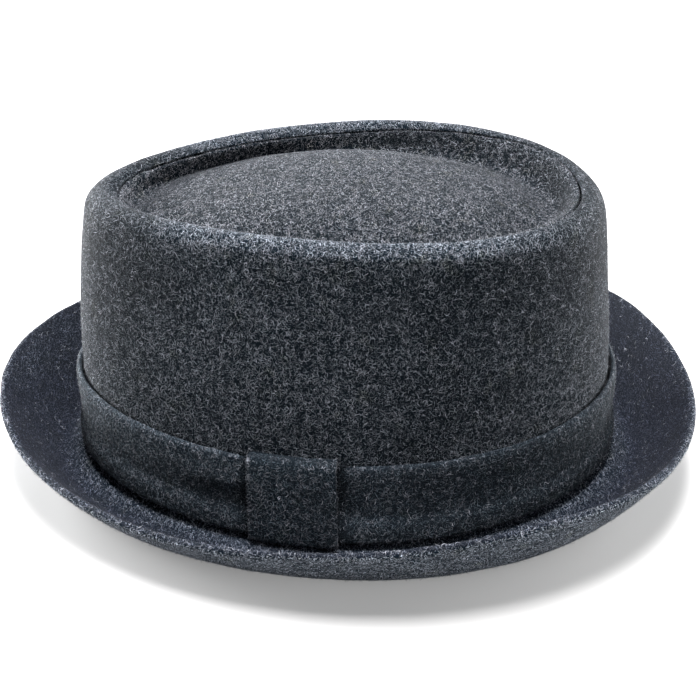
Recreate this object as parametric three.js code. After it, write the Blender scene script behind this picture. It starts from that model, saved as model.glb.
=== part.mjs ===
import * as THREE from 'three';

// A felt porkpie hat. Millimetres, +Z up. The brim's lowest ring lies on z = 0, the hat's front
// looks along -Y and the wearer's left is +X, where the loop that holds the band sits.

// Crown
const crownLength = 207; // outside the wall at the brim, front to back
const crownWidth = 167; // the same, side to side
const crownHeight = 108.5; // from the foot of the wall to the crest of the rim
const crownEgg = 0.2; // how much wider than even the back half is at the rim
const crownDip = 3.1; // how much lower the rim's crest is in front and at the back than at the sides
const crownTilt = 0.4; // how much higher the crest is at the back, and lower in front, than that
const rimRadius = 5.2; // the rounded edge between the wall and the tip
const feltWall = 2; // thickness of the crown's felt
const seamGap = 0.3; // the line between two pieces that are sewn or laid together

// Tip: the dome in the middle of the crown's top and the crease round it
const domeLength = 159;
const domeWidth = 114;
const domeShift = -2; // how far back of the brim's middle the dome lies, or in front
const creaseDepth = 10.4; // from the rim's crest down to the bottom of the crease
const domeRise = 10.4; // from the bottom of the crease up to the dome's middle

// Brim
const brimLength = 275.5;
const brimWidth = 252;
const brimEgg = 0.1; // how much wider than even its back half is
const brimWall = 3;
const brimCurl = 32; // how far the edge's underside turns up above the lowest ring, where it is highest
const seatRise = 2.8; // the underside where the crown stands, above the lowest ring
const seatSaddle = 2.2; // how much higher than that it is at front and back, and lower at the sides

// Band and the loop that holds it
const bandHeight = 30;
const bandWall = 2;
const bandEase = 0.6; // between the crown's wall and the band
const hemHeight = 8; // the lower strip of the band that stands proud
const hemStep = 1.4;
const keeperWidth = 31;
const keeperWall = 1.6;
const keeperBend = 2.4; // how far from its corners the loop begins to turn
const keeperTurn = -0.195; // the loop's middle, as an angle from the wearer's left towards the front

const segments = 68; // steps round the hat
const rimSteps = 6;
const creaseSteps = 5;
const edgeSteps = 4;
const keeperSteps = 6;
const bendSteps = 4;

// The crown's wall from the foot up: shares of its length, width and egg
const crownSections = [
  { up: 0, length: 1, width: 1, egg: 0.28, shift: 0 },
  { up: 0.16, length: 1.006, width: 0.988, egg: 0.28, shift: 0 },
  { up: 0.34, length: 1.008, width: 0.97, egg: 0.36, shift: -0.002 },
  { up: 0.55, length: 0.996, width: 0.94, egg: 0.6, shift: -0.006 },
  { up: 0.78, length: 0.975, width: 0.904, egg: 0.82, shift: -0.005 },
  { up: 1, length: 0.948, width: 0.87, egg: 1, shift: -0.004 },
];

// From the crease up to the dome's middle: how far out from the middle, and the share of the rise
const domeRows = [
  { out: 0.93, rise: 0.15 },
  { out: 0.84, rise: 0.4 },
  { out: 0.7, rise: 0.68 },
  { out: 0.5, rise: 0.88 },
  { out: 0.25, rise: 0.975 },
];

// The brim's underside: share of the way from the crown to the edge, of the seat's rise and of the curl
const brimRows = [
  { across: 0, seat: 1, curl: 0 },
  { across: 0.12, seat: 0.55, curl: 0 },
  { across: 0.22, seat: 0.12, curl: 0 },
  { across: 0.3, seat: 0, curl: 0 },
  { across: 0.4, seat: 0, curl: 0 },
  { across: 0.52, seat: 0, curl: 0.13 },
  { across: 0.67, seat: 0, curl: 0.36 },
  { across: 0.82, seat: 0, curl: 0.64 },
  { across: 0.93, seat: 0, curl: 0.86 },
  { across: 1, seat: 0, curl: 1 },
];

// What changes round the hat, by degrees from the wearer's left towards the back: the share of the
// brim's curl, which dips in front of the loop, the share of the rim's radius, and how many degrees
// round the rim the seam lies
const roundRows = [
  { turn: 0, curl: 0.79, rim: 1, seam: 122 },
  { turn: 30, curl: 0.95, rim: 1.05, seam: 104 },
  { turn: 60, curl: 0.82, rim: 1.4, seam: 93 },
  { turn: 90, curl: 0.86, rim: 1.8, seam: 92 },
  { turn: 120, curl: 1.02, rim: 1.45, seam: 102 },
  { turn: 150, curl: 1, rim: 1.38, seam: 128 },
  { turn: 180, curl: 1, rim: 1.36, seam: 146 },
  { turn: 210, curl: 1, rim: 1.34, seam: 143 },
  { turn: 240, curl: 1.05, rim: 1.32, seam: 138 },
  { turn: 270, curl: 0.97, rim: 1.4, seam: 142 },
  { turn: 300, curl: 0.72, rim: 1.2, seam: 145 },
  { turn: 330, curl: 0.62, rim: 1.05, seam: 138 },
];

// The band's section, outside then inside: shares of its wall, of the hem's step, of its height
// and of the hem's height
const bandRows = [
  { wall: 0.6, step: 1, height: 0, hem: 0 },
  { wall: 1, step: 1, height: 0, hem: 0.1 },
  { wall: 1, step: 0.93, height: 0, hem: 0.5 },
  { wall: 1, step: 0.7, height: 0, hem: 0.85 },
  { wall: 0.95, step: 0.25, height: 0, hem: 1.08 },
  { wall: 0.86, step: 0, height: 0, hem: 1.3 },
  { wall: 0.88, step: 0, height: 0.5, hem: 0 },
  { wall: 1.1, step: 0, height: 0.76, hem: 0 },
  { wall: 1.12, step: 0, height: 0.9, hem: 0 },
  { wall: 0.95, step: 0, height: 0.97, hem: 0 },
  { wall: 0.5, step: 0, height: 1, hem: 0 },
  { wall: 0, step: 0, height: 0.985, hem: 0 },
  { wall: 0, step: 0, height: 0.5, hem: 0 },
  { wall: 0, step: 0, height: 0, hem: 0 },
];

const bandLift = keeperWall + 2 * seamGap; // the loop passes under the band
const seatHeight = brimWall + seamGap; // from the brim's underside to the foot of the crown
const crestHeight = seatRise + seatHeight + crownHeight;
const creaseHeight = crestHeight - creaseDepth;
const bandReach = bandEase + bandWall * Math.max(...bandRows.map((row) => row.wall)) + hemStep;
const angles = Array.from({ length: segments }, (_, step) => (step / segments) * 2 * Math.PI);

const felt = (color) => new THREE.MeshStandardMaterial({ color, roughness: 0.95, metalness: 0 });

// A plan oval at an angle measured from the wearer's left towards the back
function ovalPoint(oval, angle) {
  const x = (oval.width / 2) * Math.cos(angle) * (1 + oval.egg * Math.sin(angle));
  const y = oval.shift + (oval.length / 2) * Math.sin(angle);
  return new THREE.Vector2(x, y);
}

function ovalOutward(oval, angle) {
  const step = 0.001;
  const along = ovalPoint(oval, angle + step).sub(ovalPoint(oval, angle - step));
  return new THREE.Vector2(along.y, -along.x).normalize();
}

// A smooth curve's value between two rows, given the slopes there
function smoothStep(t, span, start, end, startSlope, endSlope) {
  return (
    (2 * t ** 3 - 3 * t ** 2 + 1) * start +
    (t ** 3 - 2 * t ** 2 + t) * span * startSlope +
    (3 * t ** 2 - 2 * t ** 3) * end +
    (t ** 3 - t ** 2) * span * endSlope
  );
}

// One column of the crown's sections at a height share
function sectionValue(column, up) {
  const rows = crownSections;
  let low = 0;
  while (low < rows.length - 2 && up > rows[low + 1].up) low += 1;
  const slope = (a, b) => (rows[b][column] - rows[a][column]) / (rows[b].up - rows[a].up);
  const high = low + 1;
  const span = rows[high].up - rows[low].up;
  const startSlope = slope(Math.max(low - 1, 0), high);
  const endSlope = slope(low, Math.min(high + 1, rows.length - 1));
  const t = (up - rows[low].up) / span;
  return smoothStep(t, span, rows[low][column], rows[high][column], startSlope, endSlope);
}

function crownOval(up) {
  return {
    length: crownLength * sectionValue('length', up),
    width: crownWidth * sectionValue('width', up),
    egg: crownEgg * sectionValue('egg', up),
    shift: crownLength * sectionValue('shift', up),
  };
}

// One column of the rows round the hat at an angle
function roundValue(column, angle) {
  const count = roundRows.length;
  const place = (THREE.MathUtils.euclideanModulo(angle, 2 * Math.PI) / (2 * Math.PI)) * count;
  const low = Math.floor(place);
  const value = (row) => roundRows[(row + count) % count][column];
  const startSlope = (value(low + 1) - value(low - 1)) / 2;
  const endSlope = (value(low + 2) - value(low)) / 2;
  return smoothStep(place - low, 1, value(low), value(low + 1), startSlope, endSlope);
}

const curlAt = (angle) => brimCurl * roundValue('curl', angle);
const rimAt = (angle) => rimRadius * roundValue('rim', angle);
const seamTurnAt = (angle) => THREE.MathUtils.degToRad(roundValue('seam', angle));
const seatAt = (angle) => seatRise - seatSaddle * Math.cos(2 * angle);
const footAt = (angle) => seatAt(angle) + seatHeight;
const crestAt = (angle) => crestHeight - crownDip * Math.sin(angle) ** 2 + crownTilt * Math.sin(angle);
const creaseAt = (angle) => crestAt(angle) - creaseDepth;

// A point at a height above the foot of the crown's wall and a distance out from its face
function crownPoint(angle, height, outward) {
  const rise = crestAt(angle) - footAt(angle);
  const oval = crownOval(height / rise);
  const plan = ovalPoint(oval, angle).addScaledVector(ovalOutward(oval, angle), outward);
  return new THREE.Vector3(plan.x, plan.y, footAt(angle) + height);
}

const ringOf = (pointAt) => angles.map(pointAt);

// The way along a skin of rings at one point, halfway between its two directions there
function skinAlong(rings, row, column) {
  const point = rings[row][column];
  const before = rings[Math.max(row - 1, 0)][column];
  const after = rings[Math.min(row + 1, rings.length - 1)][column];
  const arriving = point.clone().sub(before).normalize();
  const leaving = after.clone().sub(point).normalize();
  return arriving.add(leaving).normalize();
}

// Directions that point out of a skin of rings, which run anticlockwise seen from above
function skinOutward(rings) {
  return rings.map((ring, row) =>
    ring.map((point, column) => {
      const left = ring[(column + segments - 1) % segments];
      const right = ring[(column + 1) % segments];
      const round = right.clone().sub(left);
      return round.cross(skinAlong(rings, row, column)).normalize();
    }),
  );
}

function offsetSkin(rings, distance) {
  const outward = skinOutward(rings);
  return rings.map((ring, row) =>
    ring.map((point, column) => point.clone().addScaledVector(outward[row][column], distance)),
  );
}

// Closed body of a loop of rings: the last ring joins the first, and a ring of one point is a pole
function ringBody(rings) {
  const positions = [];
  const starts = rings.map((ring) => {
    const start = positions.length / 3;
    ring.forEach((point) => positions.push(point.x, point.y, point.z));
    return start;
  });
  const index = [];
  rings.forEach((ring, row) => {
    const next = (row + 1) % rings.length;
    const size = Math.max(ring.length, rings[next].length);
    const here = (column) => starts[row] + (column % ring.length);
    const there = (column) => starts[next] + (column % rings[next].length);
    for (let column = 0; column < size && size > 1; column += 1) {
      if (ring.length > 1) index.push(here(column), here(column + 1), there(column + 1));
      if (rings[next].length > 1) index.push(here(column), there(column + 1), there(column));
    }
  });
  const geometry = new THREE.BufferGeometry();
  geometry.setAttribute('position', new THREE.Float32BufferAttribute(positions, 3));
  geometry.setIndex(index);
  geometry.computeVertexNormals();
  return geometry;
}

// The outside of the crown: up the wall, over the rim to the seam
function crownWallRings() {
  const straight = crownSections.slice(0, -1).map((row) =>
    ringOf((angle) => {
      const wallTop = crestAt(angle) - footAt(angle) - rimAt(angle);
      return crownPoint(angle, (wallTop * row.up) / crownSections.at(-2).up, 0);
    }),
  );
  const rim = Array.from({ length: rimSteps }, (_, step) =>
    ringOf((angle) => rimPoint(angle, (seamTurnAt(angle) * (step + 1)) / rimSteps)),
  );
  return [...straight, ...rim];
}

function rimPoint(angle, turn) {
  const radius = rimAt(angle);
  const wallTop = crestAt(angle) - footAt(angle) - radius;
  return crownPoint(angle, wallTop + radius * Math.sin(turn), -radius * (1 - Math.cos(turn)));
}

// The outside of the tip past the seam: down the crease and up over the dome, without its middle
function tipRings(seam) {
  const domeOval = { length: domeLength, width: domeWidth, egg: 0, shift: domeShift };
  const crease = ringOf((angle) => {
    const plan = ovalPoint(domeOval, angle);
    return new THREE.Vector3(plan.x, plan.y, creaseAt(angle));
  });
  const fall = Array.from({ length: creaseSteps }, (_, step) =>
    seam.map((point, column) => {
      const inward = ovalOutward(domeOval, angles[column]).negate();
      const turn = seamTurnAt(angles[column]);
      return fallPoint(point, crease[column], inward, turn, (step + 1) / creaseSteps);
    }),
  );
  const middle = new THREE.Vector3(0, domeShift, creaseHeight);
  const dome = domeRows.map((row) =>
    crease.map((point) => {
      const spot = middle.clone().lerp(point, row.out);
      return spot.setZ(spot.z + row.rise * domeRise);
    }),
  );
  return [...fall, ...dome];
}

// A point on the smooth fall that leaves the rim as the rim turns and arrives level in the crease
function fallPoint(start, end, inward, turn, share) {
  const reach = start.distanceTo(end);
  const pace = [inward.x * Math.sin(turn), inward.y * Math.sin(turn), Math.cos(turn)];
  const level = [inward.x, inward.y, 0];
  const from = start.toArray();
  const to = end.toArray();
  const spot = from.map((value, axis) =>
    smoothStep(share, reach, value, to[axis], pace[axis], level[axis]),
  );
  return new THREE.Vector3(...spot);
}

// The crown's whole skin and the one inside it, which the seam parts into side and tip
function crownSkins() {
  const wall = crownWallRings();
  const outside = [...wall, ...tipRings(wall.at(-1))];
  return { outside, inside: offsetSkin(outside, -feltWall), seam: wall.length - 1 };
}

function crownSide({ outside, inside, seam }) {
  const foot = inside[0].map((point, column) => point.clone().setZ(outside[0][column].z));
  return ringBody([...outside.slice(0, seam + 1), ...inside.slice(1, seam + 1).reverse(), foot]);
}

function crownTip({ outside, inside, seam }) {
  const pastSeam = (rings) =>
    rings[seam].map((point, column) =>
      point.clone().addScaledVector(skinAlong(outside, seam, column), seamGap),
    );
  const top = new THREE.Vector3(0, domeShift, creaseHeight + domeRise);
  const under = top.clone().setZ(top.z - feltWall);
  const above = [pastSeam(outside), ...outside.slice(seam + 1)];
  const below = [pastSeam(inside), ...inside.slice(seam + 1)];
  return ringBody([...above, [top], [under], ...below.reverse()]);
}

// The brim: its underside from the foot of the crown out, a round edge, and its upper face
function brim() {
  const foot = crownOval(0);
  const edge = { length: brimLength, width: brimWidth, egg: brimEgg, shift: 0 };
  const under = brimRows.map((row) =>
    ringOf((angle) => {
      const plan = ovalPoint(foot, angle).lerp(ovalPoint(edge, angle), row.across);
      return new THREE.Vector3(plan.x, plan.y, row.seat * seatAt(angle) + row.curl * curlAt(angle));
    }),
  );
  const upper = offsetSkin(under, -brimWall);
  upper[0].forEach((point, column) => point.copy(under[0][column]).setZ(under[0][column].z + brimWall));
  const edgeRings = Array.from({ length: edgeSteps - 1 }, (_, step) => {
    const turn = (Math.PI * (step + 1)) / edgeSteps;
    return under.at(-1).map((point, column) => {
      const middle = point.clone().lerp(upper.at(-1)[column], 0.5);
      const down = point.clone().sub(middle).multiplyScalar(Math.cos(turn));
      const along = point.clone().sub(under.at(-2)[column]).setLength((brimWall / 2) * Math.sin(turn));
      return middle.add(down).add(along);
    });
  });
  const inner = (height) =>
    ringOf((angle) => {
      const plan = ovalPoint(foot, angle).addScaledVector(ovalOutward(foot, angle), -feltWall);
      return new THREE.Vector3(plan.x, plan.y, seatAt(angle) + height);
    });
  return ringBody([inner(0), ...under, ...edgeRings, ...upper.reverse(), inner(brimWall)]);
}

function hatBand() {
  return ringBody(
    bandRows.map((row) => {
      const outward = bandEase + row.wall * bandWall + row.step * hemStep;
      const height = bandLift + row.height * bandHeight + row.hem * hemHeight;
      return ringOf((angle) => crownPoint(angle, height, outward));
    }),
  );
}

// The loop's middle line, as distance out from the crown and height above its foot
function keeperPath() {
  const back = seamGap;
  const front = bandReach + seamGap + keeperWall / 2;
  const top = bandLift + bandHeight + seamGap + keeperWall / 2;
  const low = seamGap + keeperWall / 2;
  const path = new THREE.Path();
  path.moveTo(back, top);
  path.lineTo(front - keeperBend, top);
  path.quadraticCurveTo(front, top, front, top - keeperBend);
  path.lineTo(front, low + keeperBend);
  path.quadraticCurveTo(front, low, front - keeperBend, low);
  path.lineTo(back, low);
  return path.getPoints(bendSteps);
}

function bandKeeper() {
  const line = keeperPath();
  const side = (distance) =>
    line.map((point, step) => {
      const before = line[Math.max(step - 1, 0)];
      const after = line[Math.min(step + 1, line.length - 1)];
      const along = after.clone().sub(before).normalize();
      return new THREE.Vector2(-along.y, along.x).multiplyScalar(distance).add(point);
    });
  const outline = [...side(-keeperWall / 2), ...side(keeperWall / 2).reverse()];
  const halfTurn = keeperWidth / crownLength;
  const positions = [];
  const index = [];
  for (let step = 0; step <= keeperSteps; step += 1) {
    const angle = keeperTurn + halfTurn * ((2 * step) / keeperSteps - 1);
    outline.forEach((point) => positions.push(...crownPoint(angle, point.y, point.x).toArray()));
  }
  const count = outline.length;
  for (let step = 0; step < keeperSteps; step += 1) {
    for (let corner = 0; corner < count; corner += 1) {
      const next = (corner + 1) % count;
      const here = step * count;
      const there = here + count;
      index.push(here + corner, there + corner, there + next);
      index.push(here + corner, there + next, here + next);
    }
  }
  const faces = THREE.ShapeUtils.triangulateShape(outline, []);
  const lastRow = keeperSteps * count;
  faces.forEach(([a, b, c]) => {
    index.push(a, b, c);
    index.push(lastRow + a, lastRow + c, lastRow + b);
  });
  const geometry = new THREE.BufferGeometry();
  geometry.setAttribute('position', new THREE.Float32BufferAttribute(positions, 3));
  geometry.setIndex(index);
  geometry.computeVertexNormals();
  return geometry;
}

const hat = new THREE.Group();

function addPiece(name, geometry, material) {
  const mesh = new THREE.Mesh(geometry, material);
  mesh.name = name;
  hat.add(mesh);
}

const skins = crownSkins();
addPiece('crown_side', crownSide(skins), felt(0x3f4349));
addPiece('crown_tip', crownTip(skins), felt(0x484c52));
addPiece('brim', brim(), felt(0x3c3f46));
addPiece('hat_band', hatBand(), felt(0x34373d));
addPiece('band_keeper', bandKeeper(), felt(0x3a3d43));

export default hat;
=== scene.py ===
import math

import bpy
import numpy as np
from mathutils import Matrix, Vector
from mathutils.bvhtree import BVHTree


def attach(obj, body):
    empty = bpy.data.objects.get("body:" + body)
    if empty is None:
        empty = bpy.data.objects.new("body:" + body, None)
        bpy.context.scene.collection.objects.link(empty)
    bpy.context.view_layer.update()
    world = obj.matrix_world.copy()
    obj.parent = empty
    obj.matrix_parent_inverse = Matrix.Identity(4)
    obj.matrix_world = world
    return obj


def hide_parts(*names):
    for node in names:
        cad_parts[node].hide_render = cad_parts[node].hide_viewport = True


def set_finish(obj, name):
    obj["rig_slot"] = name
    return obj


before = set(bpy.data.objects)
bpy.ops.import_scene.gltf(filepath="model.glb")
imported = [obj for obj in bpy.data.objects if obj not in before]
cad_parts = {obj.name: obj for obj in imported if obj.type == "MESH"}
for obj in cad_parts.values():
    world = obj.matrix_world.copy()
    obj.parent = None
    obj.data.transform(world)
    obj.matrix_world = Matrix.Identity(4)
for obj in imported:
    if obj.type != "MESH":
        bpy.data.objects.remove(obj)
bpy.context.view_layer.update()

print("frame loaded")


# The camera stands at the wearer's left, a little above the hat
camera = {
    "place": (0.5431, -0.0093, 0.3094),
    "looksAt": (-0.01348, 0.00136, 0.03407),
    "lens": 78.06,
    "sensor": 36,
    "clipStart": 0.01,
}


def deselectAll():
    if bpy.context.object and bpy.context.object.mode != "OBJECT":
        bpy.ops.object.mode_set(mode="OBJECT")
    bpy.ops.object.select_all(action="DESELECT")


def aimAt(thing, target):
    away = thing.location - Vector(target)
    thing.rotation_euler = away.to_track_quat("Z", "Y").to_euler()


deselectAll()
bpy.ops.object.camera_add(location=camera["place"])
photoCamera = bpy.context.object
photoCamera.name = "photoCamera"
photoCamera.data.lens = camera["lens"]
photoCamera.data.sensor_width = camera["sensor"]
photoCamera.data.clip_start = camera["clipStart"]
aimAt(photoCamera, camera["looksAt"])
bpy.context.scene.camera = photoCamera
bpy.context.scene.view_settings.view_transform = "Standard"
print("camera placed")


# Node helpers
def addNode(tree, kind, **settings):
    node = tree.nodes.new(kind)
    for key, value in settings.items():
        setattr(node, key, value)
    return node


def plug(tree, source, target):
    tree.links.new(source, target)


def isSocket(value):
    return isinstance(value, bpy.types.NodeSocket)


def vectorMath(tree, operation, first, second=None):
    node = addNode(tree, "ShaderNodeVectorMath", operation=operation)
    for socket, value in zip(node.inputs, (first, second)):
        if isSocket(value):
            plug(tree, value, socket)
        elif value is not None:
            socket.default_value = value
    return node


def maths(tree, operation, first, second=None, clamp=False):
    node = addNode(tree, "ShaderNodeMath", operation=operation, use_clamp=clamp)
    for socket, value in zip(node.inputs, (first, second)):
        if isSocket(value):
            plug(tree, value, socket)
        elif value is not None:
            socket.default_value = value
    return node.outputs[0]


def remap(tree, value, fromLow, fromHigh, toLow, toHigh, kind="SMOOTHSTEP"):
    node = addNode(tree, "ShaderNodeMapRange", interpolation_type=kind)
    plug(tree, value, node.inputs["Value"])
    names = ("From Min", "From Max", "To Min", "To Max")
    for name, number in zip(names, (fromLow, fromHigh, toLow, toHigh)):
        node.inputs[name].default_value = number
    return node.outputs[0]


def noiseOf(tree, vector, scale, detail=2.0, roughness=0.5):
    node = addNode(tree, "ShaderNodeTexNoise")
    plug(tree, vector, node.inputs["Vector"])
    node.inputs["Scale"].default_value = scale
    node.inputs["Detail"].default_value = detail
    node.inputs["Roughness"].default_value = roughness
    return node


def mixColours(tree, factor, first, second, blend="MIX"):
    node = addNode(tree, "ShaderNodeMix", data_type="RGBA", blend_type=blend)
    for socket, value in zip((node.inputs[0], node.inputs[6], node.inputs[7]), (factor, first, second)):
        if isSocket(value):
            plug(tree, value, socket)
        else:
            socket.default_value = value
    return node.outputs[2]


# Heathered wool felt: curly fibres that cross in every direction over a darker ground.
# Each layer fills space with cells, and a thin slice through each cell meets the surface in a line.
feltLook = {
    "ground": (0.0006, 0.0026, 0.0052, 1),
    "body": (0.0032, 0.0085, 0.0145, 1),
    "light": (0.5, 0.55, 0.63, 1),
    # half a fibre's width, its reach from the cell's middle, and the further share of cells without one
    "layers": [
        {"cells": 740, "half": 0.000108, "reach": 0.0013, "shade": 1.15, "fewer": 0.2,
         "offset": (0.0, 0.0, 0.0)},
        {"cells": 1220, "half": 0.00009, "reach": 0.0008, "shade": 1.0, "fewer": 0.0,
         "offset": (0.31, 0.12, 0.57)},
        {"cells": 1700, "half": 0.00008, "reach": 0.0005, "shade": 0.8, "fewer": 0.0,
         "offset": (0.73, 0.41, 0.19)},
    ],
    "core": 0.3,  # the part of the half width, and of the reach, before a fibre fades
    "full": 0.6,
    "curl": 0.0009,  # how far the fibres stray from straight
    "curlScale": 420,
    "grainScale": 1500,
    "grainRange": (0.3, 0.7),
    "grain": 0.75,  # how much the grain thins and thickens the fibres
    "clumpScale": 330,
    "clumpRange": (0.35, 0.65),
    "clump": 0.4,
    "mottleScale": 60,
    "mottleRange": (0.3, 0.7),
    "mottle": 0.2,
    "oliveScale": 130,
    "oliveRange": (0.6, 0.74),
    "olive": (1.05, 1.03, 0.92, 1),
    # the near-black colour that painted shade mixes the felt towards
    "paintedShade": (0.001, 0.0018, 0.0026, 1),
    "relief": 0.0003,
    "reliefStrength": 0.8,
    "grainRelief": 0.6,  # how high the grain stands against the fibres
    "roughness": 0.95,
    "specular": 0.06,
    "sheen": 0.02,
    "sheenRoughness": 0.22,
    "sheenTint": (0.85, 0.9, 1, 1),
}

# The looks of the pieces. missing is the share of the cells without a light fibre, and pressed is how
# far the felt is of one tone. Where there is a faceTint, faceTint, contrast and tone hold for the
# brim's upper face alone.
plainFelt = {"tint": (1, 1, 1, 1), "contrast": 1.0, "missing": 0.42}
# The tip's tint is its warm felt tone, lifted so that the crease's front wall, which lies in shade,
# reads lighter: painted light. The dome and the back wall take painted shade against it.
tipLook = {"tint": (1.0, 0.915, 0.877, 1), "contrast": 1.0, "missing": 0.52}
# The brim's tint and underContrast make its underside and turned-up edge lighter: painted light
# standing in for light from the floor
brimLook = {
    "tint": (1.45, 1.45, 1.45, 1), "faceTint": (0.28, 0.285, 0.37, 1), "contrast": 0.55,
    "underContrast": 1.3, "missing": 0.5, "pressed": 0.35, "tone": (0.0125, 0.0138, 0.0195, 1),
}
bandLook = {
    "tint": (0.55, 0.61, 0.63, 1), "contrast": 0.65, "missing": 0.42,
    "pressed": 0.3, "tone": (0.0165, 0.0215, 0.0275, 1),
}
keeperLook = {
    "tint": (0.57, 0.645, 0.68, 1), "contrast": 0.65, "missing": 0.42,
    "pressed": 0.3, "tone": (0.0155, 0.0215, 0.0275, 1),
}
wool = {
    "dark": (0.006, 0.0085, 0.012, 1),
    "light": (0.3, 0.315, 0.36, 1),
    "roughness": 0.8,
    "specular": 0.1,
}


def fibreLayer(tree, coords, layer, missing):
    moved = vectorMath(tree, "ADD", coords, layer["offset"]).outputs[0]
    cells = addNode(tree, "ShaderNodeTexVoronoi")
    plug(tree, moved, cells.inputs["Vector"])
    cells.inputs["Scale"].default_value = layer["cells"]
    local = vectorMath(tree, "SUBTRACT", moved, cells.outputs["Position"]).outputs[0]
    lean = vectorMath(tree, "SUBTRACT", cells.outputs["Color"], (0.5, 0.5, 0.5)).outputs[0]
    face = addNode(tree, "ShaderNodeNewGeometry").outputs["Normal"]
    lean = vectorMath(tree, "CROSS_PRODUCT", lean, face).outputs[0]
    lean = vectorMath(tree, "NORMALIZE", lean).outputs[0]
    across = maths(tree, "ABSOLUTE", vectorMath(tree, "DOT_PRODUCT", local, lean).outputs["Value"])
    line = remap(tree, across, feltLook["core"] * layer["half"], layer["half"], 1, 0)
    away = vectorMath(tree, "LENGTH", local).outputs["Value"]
    ends = remap(tree, away, feltLook["full"] * layer["reach"], layer["reach"], 1, 0)
    parts = addNode(tree, "ShaderNodeSeparateColor")
    plug(tree, cells.outputs["Color"], parts.inputs[0])
    shade = remap(tree, parts.outputs[0], missing + layer["fewer"], 1, 0, layer["shade"], "LINEAR")
    return maths(tree, "MULTIPLY", maths(tree, "MULTIPLY", line, ends), shade)


def makeFelt(name, own):
    look, tint, contrast = feltLook, own["tint"], own["contrast"]
    material = bpy.data.materials.new(name)
    material.use_nodes = True
    tree = material.node_tree
    shader = tree.nodes["Principled BSDF"]
    coords = addNode(tree, "ShaderNodeTexCoord").outputs["Object"]
    stray = noiseOf(tree, coords, look["curlScale"], 1.5)
    stray = vectorMath(tree, "SUBTRACT", stray.outputs["Color"], (0.5, 0.5, 0.5)).outputs[0]
    bent = vectorMath(tree, "SCALE", stray)
    bent.inputs["Scale"].default_value = look["curl"]
    curled = vectorMath(tree, "ADD", coords, bent.outputs[0]).outputs[0]
    fibres = None
    for layer in look["layers"]:
        one = fibreLayer(tree, curled, layer, own["missing"])
        fibres = one if fibres is None else maths(tree, "MAXIMUM", fibres, one)
    grain = noiseOf(tree, coords, look["grainScale"], 2, 0.6).outputs["Fac"]
    grain = remap(tree, grain, *look["grainRange"], 0, 1, "LINEAR")
    clump = noiseOf(tree, coords, look["clumpScale"], 3, 0.6).outputs["Fac"]
    clump = remap(tree, clump, *look["clumpRange"], 1 - look["clump"], 1 + look["clump"])
    mottle = noiseOf(tree, coords, look["mottleScale"], 3, 0.55).outputs["Fac"]
    mottle = remap(tree, mottle, *look["mottleRange"], 1 - look["mottle"], 1 + look["mottle"], "LINEAR")
    patch = noiseOf(tree, coords, look["oliveScale"], 1, 0.5).outputs["Fac"]
    patch = remap(tree, patch, *look["oliveRange"], 0, 1)
    colour = mixColours(tree, grain, look["ground"], look["body"])
    if "faceTint" in own:
        face = addNode(tree, "ShaderNodeAttribute", attribute_name="upperFace").outputs["Fac"]
        tint = mixColours(tree, face, tint, own["faceTint"])
        contrast = remap(tree, face, 0, 1, own["underContrast"], contrast, "LINEAR")
    thick = remap(tree, grain, 0, 1, 1 - look["grain"], 1 + look["grain"], "LINEAR")
    fibres = maths(tree, "MULTIPLY", fibres, thick)
    share = maths(tree, "MULTIPLY", maths(tree, "MULTIPLY", fibres, clump), contrast, clamp=True)
    colour = mixColours(tree, share, colour, look["light"])
    colour = mixColours(tree, 1.0, colour, mottle, "MULTIPLY")
    colour = mixColours(tree, patch, colour, mixColours(tree, 1.0, colour, look["olive"], "MULTIPLY"))
    colour = mixColours(tree, 1.0, colour, tint, "MULTIPLY")
    if "tone" in own:
        pressed = maths(tree, "MULTIPLY", face, own["pressed"]) if "faceTint" in own else own["pressed"]
        colour = mixColours(tree, pressed, colour, own["tone"])
    # painted shade: this attribute darkens the colour towards near black where shade falls
    paintedShade = addNode(tree, "ShaderNodeAttribute", attribute_name="paintedShade").outputs["Fac"]
    colour = mixColours(tree, paintedShade, colour, look["paintedShade"])
    plug(tree, colour, shader.inputs["Base Color"])
    height = maths(tree, "ADD", fibres, maths(tree, "MULTIPLY", grain, look["grainRelief"]))
    bump = addNode(tree, "ShaderNodeBump")
    bump.inputs["Strength"].default_value = look["reliefStrength"]
    bump.inputs["Distance"].default_value = look["relief"]
    plug(tree, height, bump.inputs["Height"])
    plug(tree, bump.outputs[0], shader.inputs["Normal"])
    shader.inputs["Roughness"].default_value = look["roughness"]
    shader.inputs["Specular IOR Level"].default_value = look["specular"]
    shader.inputs["Sheen Weight"].default_value = look["sheen"]
    shader.inputs["Sheen Roughness"].default_value = look["sheenRoughness"]
    shader.inputs["Sheen Tint"].default_value = look["sheenTint"]
    return material


def makeWool(name):
    material = bpy.data.materials.new(name)
    material.use_nodes = True
    tree = material.node_tree
    shader = tree.nodes["Principled BSDF"]
    shade = addNode(tree, "ShaderNodeAttribute", attribute_name="shade").outputs["Fac"]
    plug(tree, mixColours(tree, shade, wool["dark"], wool["light"]), shader.inputs["Base Color"])
    shader.inputs["Roughness"].default_value = wool["roughness"]
    shader.inputs["Specular IOR Level"].default_value = wool["specular"]
    return material


charcoalFelt = makeFelt("charcoalFelt", plainFelt)
brimFelt = makeFelt("brimFelt", brimLook)
tipFelt = makeFelt("tipFelt", tipLook)
bandFelt = makeFelt("bandFelt", bandLook)
keeperFelt = makeFelt("keeperFelt", keeperLook)
looseWool = makeWool("looseWool")
print("felt mixed")


making = {
    "mergeWithin": 0.00001,
    "quadAngle": 60,  # degrees up to which two triangles become one quad
    "edgeAngle": 50,  # degrees from which an edge is rounded
    "edgeSegments": 2,
}


# 0 up to start, 1 from start + reach on
def ramp(value, start, reach):
    return min(1, max(0, (value - start) / reach))


def pickOut(piece):
    deselectAll()
    bpy.context.view_layer.objects.active = piece
    piece.select_set(True)


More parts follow.
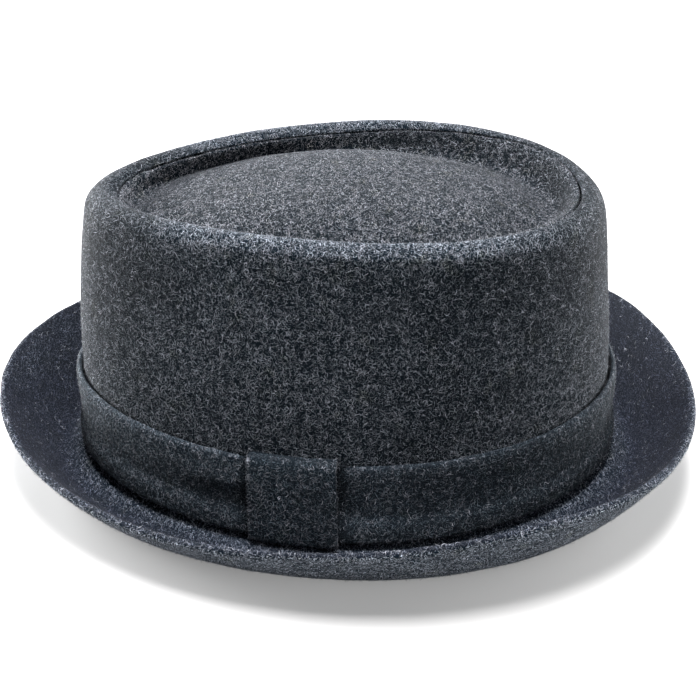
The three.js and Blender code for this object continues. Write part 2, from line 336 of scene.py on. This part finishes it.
# Each felt piece starts as a merged copy of its solid, smoothed, and worked a little uneven
def copyOfNode(nodeName, pieceName, material, slotName):
    pickOut(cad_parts[nodeName])
    bpy.ops.object.duplicate()
    piece = bpy.context.object
    piece.name = pieceName
    piece.data.name = pieceName
    piece.parent = None
    for key in list(piece.keys()):
        if key.startswith("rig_"):
            del piece[key]
    bpy.ops.mesh.customdata_custom_splitnormals_clear()
    bpy.ops.object.mode_set(mode="EDIT")
    bpy.ops.mesh.select_all(action="SELECT")
    bpy.ops.mesh.remove_doubles(threshold=making["mergeWithin"])
    angle = math.radians(making["quadAngle"])
    bpy.ops.mesh.tris_convert_to_quads(face_threshold=angle, shape_threshold=angle)
    bpy.ops.object.mode_set(mode="OBJECT")
    piece.data.materials.clear()
    piece.data.materials.append(material)
    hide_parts(nodeName)
    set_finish(piece, slotName)
    return piece


def smoothPiece(piece, levels):
    pickOut(piece)
    bpy.ops.object.modifier_add(type="SUBSURF")
    modifier = piece.modifiers[-1]
    modifier.levels = levels
    modifier.render_levels = levels
    bpy.ops.object.modifier_apply(modifier=modifier.name)
    bpy.ops.object.shade_smooth()


# A piece cut from the sheet keeps its edges, only just rounded
def crispPiece(piece, levels, edge):
    pickOut(piece)
    bpy.ops.object.modifier_add(type="BEVEL")
    rounding = piece.modifiers[-1]
    rounding.width = edge
    rounding.segments = making["edgeSegments"]
    rounding.limit_method = "ANGLE"
    rounding.angle_limit = math.radians(making["edgeAngle"])
    bpy.ops.object.modifier_apply(modifier=rounding.name)
    bpy.ops.object.modifier_add(type="SUBSURF")
    finer = piece.modifiers[-1]
    finer.subdivision_type = "SIMPLE"
    finer.levels = levels
    finer.render_levels = levels
    bpy.ops.object.modifier_apply(modifier=finer.name)
    bpy.ops.object.shade_smooth()


def unevenPiece(piece, size, strength, group=""):
    pickOut(piece)
    waves = bpy.data.textures.new("waves", "CLOUDS")
    waves.noise_scale = size
    bpy.ops.object.modifier_add(type="DISPLACE")
    modifier = piece.modifiers[-1]
    modifier.texture = waves
    modifier.texture_coords = "LOCAL"
    modifier.strength = strength
    modifier.mid_level = 0.5
    modifier.vertex_group = group
    bpy.ops.object.modifier_apply(modifier=modifier.name)


def groupWhere(piece, name, weightOf):
    group = piece.vertex_groups.new(name=name)
    for vertex in piece.data.vertices:
        weight = weightOf(vertex.co)
        if weight > 0:
            group.add([vertex.index], weight, "REPLACE")


def surfaceTree(piece):
    spots = [vertex.co for vertex in piece.data.vertices]
    return BVHTree.FromPolygons(spots, [face.vertices for face in piece.data.polygons])


# Painted shade where a piece comes close to its neighbour, since no light gets in between them
def paintCreviceShade(piece, neighbour, reach):
    tree = surfaceTree(neighbour)
    shut = []
    for vertex in piece.data.vertices:
        gap = tree.find_nearest(vertex.co, reach)[3]
        shut.append(0 if gap is None else min(1, 1.2 * (1 - gap / reach)))
    paintedShade = piece.data.attributes.new("paintedShade", "FLOAT", "POINT")
    paintedShade.data.foreach_set("value", shut)


# Sewn pieces touch along their seam
def closeSeam(piece, other, reach, closed):
    tree = surfaceTree(other)
    for vertex in piece.data.vertices:
        nearest = tree.find_nearest(vertex.co, reach)[0]
        if nearest is not None:
            vertex.co += closed * (nearest - vertex.co)


# Adds painted shade to a piece, keeping the darker mark at each point
def paintMoreShade(piece, shadeOf):
    attributes = piece.data.attributes
    if "paintedShade" not in attributes:
        attributes.new("paintedShade", "FLOAT", "POINT")
    paintedShade = attributes["paintedShade"]
    for mark, vertex in zip(paintedShade.data, piece.data.vertices):
        mark.value = max(mark.value, shadeOf(vertex))


# Loose fibres: one curved strip, copied over a surface with its own turn, length and lift each time
fibre = {
    "steps": 3,
    "bend": 0.9,  # how far it may bend sideways, against its length
    "taper": 0.6,  # how much thinner its ends are
    "lying": 0.35,  # how high a lying fibre arches, against its lift
    "clear": 0.00004,  # between the felt and a fibre
}


def fibreStrip(steps):
    deselectAll()
    bpy.ops.mesh.primitive_grid_add(x_subdivisions=steps, y_subdivisions=1, size=1)
    strip = bpy.context.object
    points = np.array([vertex.co for vertex in strip.data.vertices])
    faces = np.array([list(face.vertices) for face in strip.data.polygons])
    bpy.data.objects.remove(strip)
    return points, faces


def isOutward(middle, normal):
    return (middle * [1, 1, 0] * normal).sum(axis=1) > 0


def facesOut(vertex):
    return vertex.normal.dot(Vector((vertex.co.x, vertex.co.y, 0))) > 0


# weightOf says how thickly the fibres lie on a triangle, from its middle and its normal
def scatterFibres(pieceName, surface, spec, weightOf):
    mesh = surface.data
    mesh.calc_loop_triangles()
    corners = np.zeros(len(mesh.loop_triangles) * 3, int)
    mesh.loop_triangles.foreach_get("vertices", corners)
    places = np.zeros(len(mesh.vertices) * 3)
    mesh.vertices.foreach_get("co", places)
    triangle = places.reshape(-1, 3)[corners.reshape(-1, 3)]
    normal = np.cross(triangle[:, 1] - triangle[:, 0], triangle[:, 2] - triangle[:, 0])
    area = np.linalg.norm(normal, axis=1)
    normal /= np.maximum(area, 1e-15)[:, None]
    weight = area * weightOf(triangle.mean(axis=1), normal)
    # fewer loose fibres where the felt carries painted shade
    if "paintedShade" in mesh.attributes:
        shut = np.zeros(len(mesh.vertices), np.float32)
        mesh.attributes["paintedShade"].data.foreach_get("value", shut)
        weight = weight * np.sqrt(np.maximum(0, 1 - shut[corners.reshape(-1, 3)].max(axis=1)))
    chance = np.random.default_rng(spec["seed"])
    count = spec["count"]
    chosen = chance.choice(len(weight), count, p=weight / weight.sum())
    first, second = chance.random((2, count))
    folded = first + second > 1
    first[folded], second[folded] = 1 - first[folded], 1 - second[folded]
    base = triangle[chosen]
    root = base[:, 0] + first[:, None] * (base[:, 1] - base[:, 0])
    root = root + second[:, None] * (base[:, 2] - base[:, 0])
    out = normal[chosen]
    along = np.cross(out, chance.normal(size=(count, 3)))
    along /= np.linalg.norm(along, axis=1)[:, None]
    side = np.cross(out, along)
    length = chance.uniform(*spec["length"], count)
    lift = chance.uniform(*spec["lift"], count)
    bend = chance.uniform(-fibre["bend"], fibre["bend"], count) * length
    points, faces = fibreStrip(fibre["steps"])
    t = points[:, 0] + 0.5
    taper = 1 - fibre["taper"] * np.abs(2 * t - 1) ** 3
    width = points[:, 1] * taper * spec["width"]
    arch = 4 * t * (1 - t)
    stand = chance.random(count) < spec["standing"]
    standing, lying = lift[:, None] * t[None] ** 1.5, fibre["lying"] * lift[:, None] * arch[None]
    rise = np.where(stand[:, None], standing, lying) + fibre["clear"]
    spread = root[:, None] + along[:, None] * ((t - 0.5)[None, :, None] * length[:, None, None])
    spread = spread + side[:, None] * (bend[:, None] * (arch[None] - 0.5) + width[None])[..., None]
    spread = spread + out[:, None] * rise[..., None]
    spread[..., 2] = np.maximum(spread[..., 2], fibre["clear"])
    corner = (faces[None] + (np.arange(count) * len(points))[:, None, None]).reshape(-1, 4)
    fibres = bpy.data.meshes.new(pieceName)
    fibres.from_pydata(spread.reshape(-1, 3).tolist(), [], corner.tolist())
    tone = chance.random(count) ** spec["darker"]
    shade = fibres.attributes.new("shade", "FLOAT", "POINT")
    shade.data.foreach_set("value", np.repeat(tone, len(points)).astype(np.float32))
    fibres.materials.append(looseWool)
    piece = bpy.data.objects.new(pieceName, fibres)
    bpy.context.scene.collection.objects.link(piece)
    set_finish(piece, surface["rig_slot"])
    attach(piece, "root")
    return piece


crown = {
    "levels": 2,
    "waves": [(0.045, 0.0006), (0.012, 0.0003)],
    "seamShade": 0.0011,  # how far from the seam the painted shade reaches
    "seamReach": 0.0006,
    "seamClosed": 0.9,
    "inside": 0.1,  # an inner face's normal points up by less than this
    "sideShade": 0.67,  # painted shade: how much darker the wall is painted than the rim
    "rimFrom": 0.08,  # from here on a normal's rise turns the wall into the rim
    "rimReach": 0.35,
    # painted shade just under the rim, and less of it low down
    "underRim": 0.094,
    "underRimReach": 0.014,
    "underRimShade": 0.12,
    "lowFrom": 0.055,
    "lowReach": 0.03,
    "lowShade": 0.1,
    "endShade": 0.74,  # painted shade: how much darker the rim is painted at the front and back
    "endsFrom": 0.045,
    "endsReach": 0.03,
    "farShade": 0.25,  # and painted shade at the side with no loop
    "farFrom": 0.02,
    "farReach": 0.03,
    # painted shade on the dome, against the tip's lifted tint
    "domeShade": 0.51,
    "wallShade": 0.81,  # painted shade: how much darker the crease's steep wall is painted behind its front end
    "wallFrom": -0.05,
    "wallReach": 0.07,
    "steepBelow": 0.9,
    "steepReach": 0.3,
    "sideFibres": {
        "seed": 11, "count": 32000, "length": (0.0007, 0.0024), "lift": (0.0001, 0.0009),
        "width": 0.00013, "standing": 0.35, "darker": 1.6, "inside": 0.03,
    },
    "tipFibres": {
        "seed": 12, "count": 14000, "length": (0.0007, 0.0022), "lift": (0.0001, 0.0004),
        "width": 0.00012, "standing": 0.06, "darker": 1.6, "inside": 0.15,
    },
}


# Painted shade on the tip: the dome, and the crease's steep wall behind its front end; the inner face
# takes none
def tipShade(vertex):
    if vertex.normal.z < 0:
        return 0
    steep = ramp(-vertex.normal.z, -crown["steepBelow"], crown["steepReach"])
    toTheBack = ramp(vertex.co.y, crown["wallFrom"], crown["wallReach"])
    return crown["domeShade"] * (1 - steep) + crown["wallShade"] * steep * toTheBack


# Painted shade: the wall is painted darker than the rim, darkest just under it and less so low down,
# and the rim's ends and far side are painted darker too
def sideShade(vertex):
    if not facesOut(vertex) and vertex.normal.z < crown["inside"]:
        return 0
    onRim = ramp(vertex.normal.z, crown["rimFrom"], crown["rimReach"])
    underRim = math.exp(-(((vertex.co.z - crown["underRim"]) / crown["underRimReach"]) ** 2))
    low = ramp(-vertex.co.z, -crown["lowFrom"], crown["lowReach"])
    wall = crown["sideShade"] + crown["underRimShade"] * underRim - crown["lowShade"] * low
    atEnds = crown["endShade"] * ramp(abs(vertex.co.y), crown["endsFrom"], crown["endsReach"])
    atFar = crown["farShade"] * ramp(-vertex.co.x, crown["farFrom"], crown["farReach"])
    return wall * (1 - onRim) + max(atEnds, atFar) * onRim


def sideWeight(middle, normal):
    outer = isOutward(middle, normal) | (normal[:, 2] > 0.3)
    return np.where(outer, 1.0, crown["sideFibres"]["inside"])


def tipWeight(middle, normal):
    return np.where(normal[:, 2] > -0.2, 1.0, crown["tipFibres"]["inside"])


crownSide = copyOfNode("crown_side", "crownSideFelt", charcoalFelt, "felt")
crownTip = copyOfNode("crown_tip", "crownTipFelt", tipFelt, "felt")
for piece in (crownSide, crownTip):
    smoothPiece(piece, crown["levels"])
    for size, strength in crown["waves"]:
        unevenPiece(piece, size, strength)
    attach(piece, "root")
paintCreviceShade(crownSide, crownTip, crown["seamShade"])
paintCreviceShade(crownTip, crownSide, crown["seamShade"])
closeSeam(crownTip, crownSide, crown["seamReach"], crown["seamClosed"])
paintMoreShade(crownTip, tipShade)
paintMoreShade(crownSide, sideShade)
scatterFibres("crownSideFibres", crownSide, crown["sideFibres"], sideWeight)
scatterFibres("crownTipFibres", crownTip, crown["tipFibres"], tipWeight)
print("crown felted")


brimSizes = {
    "levels": 2,
    "waves": [(0.045, 0.0006), (0.012, 0.0003)],
    "edgeWaves": (0.02, 0.0011),
    "edgeFrom": 0.024,  # height above which the turned-up edge is uneven
    "edgeReach": 0.008,
    "faceFrom": 0.1,  # the upper face's normal points up by more than this
    "faceReach": 0.4,
    "lip": 0.003,
    "lipFrom": 0.3,
    "lipShare": 0.7,  # how far the top of the edge takes the upper face's tint
    "sectors": 120,  # steps round the brim in which its outline is measured
    "rootFrom": 0.015,  # nearer to the crown than this, the face is less and less pressed and takes less of its darker tint: painted light in the shade at the band's foot
    "rootReach": 0.01,
    "rootShare": 0.5,
    "farShade": 0.3,  # painted shadow: how much darker the face is behind the crown
    "farReach": 0.05,
    "fibres": {
        "seed": 21, "count": 32000, "length": (0.0007, 0.0024), "lift": (0.0001, 0.0008),
        "width": 0.00013, "standing": 0.35, "darker": 1.6, "onFace": 0.08, "onFoot": 0.3,
    },
}


def bearing(spot):
    turn = 360 / brimSizes["sectors"]
    return round(math.degrees(math.atan2(spot.y, spot.x)) / turn) % brimSizes["sectors"]


# The brim's outline, as its furthest reach in each direction
def outlineOf(piece):
    outline = {}
    for vertex in piece.data.vertices:
        sector = bearing(vertex.co)
        outline[sector] = max(outline.get(sector, 0), vertex.co.xy.length)
    return outline


# The pressed upper face, less so at the lip, and less so at the crown, where this is painted light in
# the shade at the band's foot
def markUpperFace(piece, crownTree):
    outline = outlineOf(piece)
    shares = []
    for vertex in piece.data.vertices:
        fromEdge = outline[bearing(vertex.co)] - vertex.co.xy.length
        within = min(1, max(0, fromEdge / brimSizes["lip"] - brimSizes["lipFrom"]))
        upward = ramp(vertex.normal.z, brimSizes["faceFrom"], brimSizes["faceReach"])
        away = crownTree.find_nearest(vertex.co)[3]
        root = brimSizes["rootShare"] * ramp(-away, -brimSizes["rootFrom"], brimSizes["rootReach"])
        lip = brimSizes["lipShare"] + (1 - brimSizes["lipShare"]) * within
        shares.append(upward * lip * (1 - root))
    upperFace = piece.data.attributes.new("upperFace", "FLOAT", "POINT")
    upperFace.data.foreach_set("value", shares)


# Painted shadow of the crown on the brim's upper face behind it
def behindCrown(vertex):
    if vertex.normal.z <= brimSizes["faceFrom"]:
        return 0
    return brimSizes["farShade"] * ramp(-vertex.co.x, 0, brimSizes["farReach"])


def brimWeight(middle, normal):
    low = middle[:, 2] < brimSizes["edgeFrom"] / 2
    face = (normal[:, 2] > brimSizes["faceFrom"]) & (~isOutward(middle, normal) | low)
    foot = np.where(normal[:, 2] < -0.95, brimSizes["fibres"]["onFoot"], 1.0)
    return np.where(face, brimSizes["fibres"]["onFace"], foot)


brim = copyOfNode("brim", "brimFelt", brimFelt, "felt")
smoothPiece(brim, brimSizes["levels"])
groupWhere(brim, "edge", lambda spot: ramp(spot.z, brimSizes["edgeFrom"], brimSizes["edgeReach"]))
for size, strength in brimSizes["waves"]:
    unevenPiece(brim, size, strength)
unevenPiece(brim, *brimSizes["edgeWaves"], group="edge")
for vertex in brim.data.vertices:
    vertex.co.z = max(vertex.co.z, 0)
markUpperFace(brim, surfaceTree(crownSide))
paintMoreShade(brim, behindCrown)
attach(brim, "root")
scatterFibres("brimFibres", brim, brimSizes["fibres"], brimWeight)
print("brim felted")


band = {
    "levels": 2,
    "edge": 0.0004,
    "waves": [(0.045, 0.0006), (0.01, 0.0004)],
    "backShade": 0.3,  # painted shade: how much darker the band is at the back
    "backFrom": 0.015,
    "backReach": 0.05,
    "footFrom": 0.006,  # the band's foot lies lower than this, and more fibres stand out of it
    "fibres": {
        "seed": 31, "count": 13000, "length": (0.0007, 0.0021), "lift": (0.0001, 0.0007),
        "width": 0.00012, "standing": 0.3, "darker": 1.9, "onFoot": 3.0,
    },
}

keeper = {
    "levels": 2,
    "edge": 0.0005,
    # painted shade: how much darker the loop's upward faces are
    "topShade": 0.5,
    "topReach": 0.6,
    "cutEdge": 0.0012,  # more fibres stand out of the loop's two cut edges
    "fibres": {
        "seed": 32, "count": 1800, "length": (0.0007, 0.0020), "lift": (0.0001, 0.0008),
        "width": 0.00012, "standing": 0.4, "darker": 1.7, "onEdge": 4.0,
    },
}

# Beside the loop the band is drawn in on one side and bulges a little on the other
beside = {
    "loopFrom": -0.0374,  # the loop's ends along the hat
    "loopTo": -0.0047,
    "drawnIn": 0.0018,
    "drawnReach": 0.0035,
    "drawnFoot": 0.009,  # height up to which the band's foot stays where it is
    "bulge": 0.0012,
    "bulgeAt": -0.048,
    "bulgeLength": 0.012,
    "bulgeHeight": 0.0265,
    "bulgeRise": 0.004,
    # painted shadow on the band beside the loop, reaching further past its end than before its start
    "shade": 0.75,
    "shadeBefore": 0.0018,
    "shadePast": 0.003,
}


def pastLoop(spot):
    return max(0, beside["loopFrom"] - spot.y, spot.y - beside["loopTo"])


def shapeBeside(piece):
    for vertex in piece.data.vertices:
        spot = vertex.co
        if spot.x < 0 or not facesOut(vertex):
            continue
        inward = 0
        if spot.y > beside["loopFrom"]:
            inward = beside["drawnIn"] * math.exp(-((pastLoop(spot) / beside["drawnReach"]) ** 2))
        inward *= ramp(spot.z, beside["drawnFoot"], beside["drawnFoot"])
        away = (spot.y - beside["bulgeAt"]) / beside["bulgeLength"]
        above = (spot.z - beside["bulgeHeight"]) / beside["bulgeRise"]
        outward = beside["bulge"] * math.exp(-(away**2) - above**2)
        vertex.co += Vector((vertex.normal.x, vertex.normal.y, 0)) * (outward - inward)


# Painted shadow of the loop on the band beside it
def shadeBeside(vertex):
    if vertex.co.x <= 0:
        return 0
    reach = beside["shadePast"] if vertex.co.y > beside["loopFrom"] else beside["shadeBefore"]
    return beside["shade"] * math.exp(-((pastLoop(vertex.co) / reach) ** 2))


# Painted shade on the band towards the back
def bandShade(vertex):
    return band["backShade"] * ramp(vertex.co.y, band["backFrom"], band["backReach"])


# Painted shade on the loop's upward faces
def keeperShade(vertex):
    return keeper["topShade"] * ramp(vertex.normal.z, 0, keeper["topReach"])


def bandWeight(middle, normal):
    onFoot = np.where(middle[:, 2] < band["footFrom"], band["fibres"]["onFoot"], 1.0)
    return np.where(isOutward(middle, normal), onFoot, 0.0)


def keeperWeight(middle, normal):
    before, past = abs(middle[:, 1] - beside["loopFrom"]), abs(middle[:, 1] - beside["loopTo"])
    atEdge = np.minimum(before, past) < keeper["cutEdge"]
    onEdge = np.where(atEdge, keeper["fibres"]["onEdge"], 1.0)
    return np.where(isOutward(middle, normal), onEdge, 0.0)


hatBand = copyOfNode("hat_band", "bandFelt", bandFelt, "band_felt")
bandKeeper = copyOfNode("band_keeper", "keeperFelt", keeperFelt, "band_felt")
crispPiece(hatBand, band["levels"], band["edge"])
shapeBeside(hatBand)
paintMoreShade(hatBand, shadeBeside)
paintMoreShade(hatBand, bandShade)
crispPiece(bandKeeper, keeper["levels"], keeper["edge"])
paintMoreShade(bandKeeper, keeperShade)
for piece in (hatBand, bandKeeper):
    for size, strength in band["waves"]:
        unevenPiece(piece, size, strength)
    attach(piece, "root")
scatterFibres("bandFibres", hatBand, band["fibres"], bandWeight)
scatterFibres("keeperFibres", bandKeeper, keeper["fibres"], keeperWeight)
print("band felted")


studio = {
    "floorSize": 6,
    "floor": (0.27, 0.27, 0.27, 1),
    "floorRoughness": 0.9,
    "glowColour": (1, 1, 1, 1),
    "floorGlow": 0.25,
    "world": (1, 1, 1, 1),
    "worldStrength": 0.13,
    "lights": [
        {"name": "topLight", "place": (0.12, 0.0, 2.0), "width": 0.6, "height": 0.9,
         "power": 142, "colour": (1, 0.985, 0.985)},
        {"name": "fillLight", "place": (1.2, 0.95, 1.0), "width": 0.9, "height": 0.9, "power": 14},
        {"name": "floorLight", "place": (-1.3, 0.0, 1.2), "at": (-1.3, 0.0, 0.0),
         "width": 1.2, "height": 1.6, "power": 45},
        {"name": "frontSideLight", "place": (-0.74, -0.95, 0.24), "width": 1.0, "height": 0.4,
         "power": 110},
        {"name": "backSideLight", "place": (-0.64, 1.0, 0.18), "width": 1.0, "height": 0.34,
         "power": 46},
    ],
    "lightsLookAt": (0, 0, 0.05),
}

deselectAll()
bpy.ops.mesh.primitive_plane_add(size=studio["floorSize"], location=(0, 0, 0))
floor = bpy.context.object
floor.name = "floor"
bpy.ops.object.transform_apply(location=True, rotation=True, scale=True)
paper = bpy.data.materials.new("paleFloor")
paper.use_nodes = True
paperShader = paper.node_tree.nodes["Principled BSDF"]
paperShader.inputs["Base Color"].default_value = studio["floor"]
paperShader.inputs["Roughness"].default_value = studio["floorRoughness"]
paperShader.inputs["Emission Color"].default_value = studio["glowColour"]
paperShader.inputs["Emission Strength"].default_value = studio["floorGlow"]
floor.data.materials.append(paper)

for spec in studio["lights"]:
    bpy.ops.object.light_add(type="AREA", location=spec["place"])
    light = bpy.context.object
    light.name = spec["name"]
    light.data.shape = "RECTANGLE"
    light.data.size = spec["width"]
    light.data.size_y = spec["height"]
    light.data.energy = spec["power"]
    light.data.color = spec.get("colour", (1, 1, 1))
    aimAt(light, spec.get("at", studio["lightsLookAt"]))

world = bpy.data.worlds.new("studioWorld")
world.use_nodes = True
background = world.node_tree.nodes["Background"]
background.inputs["Color"].default_value = studio["world"]
background.inputs["Strength"].default_value = studio["worldStrength"]
bpy.context.scene.world = world
print("studio lit")
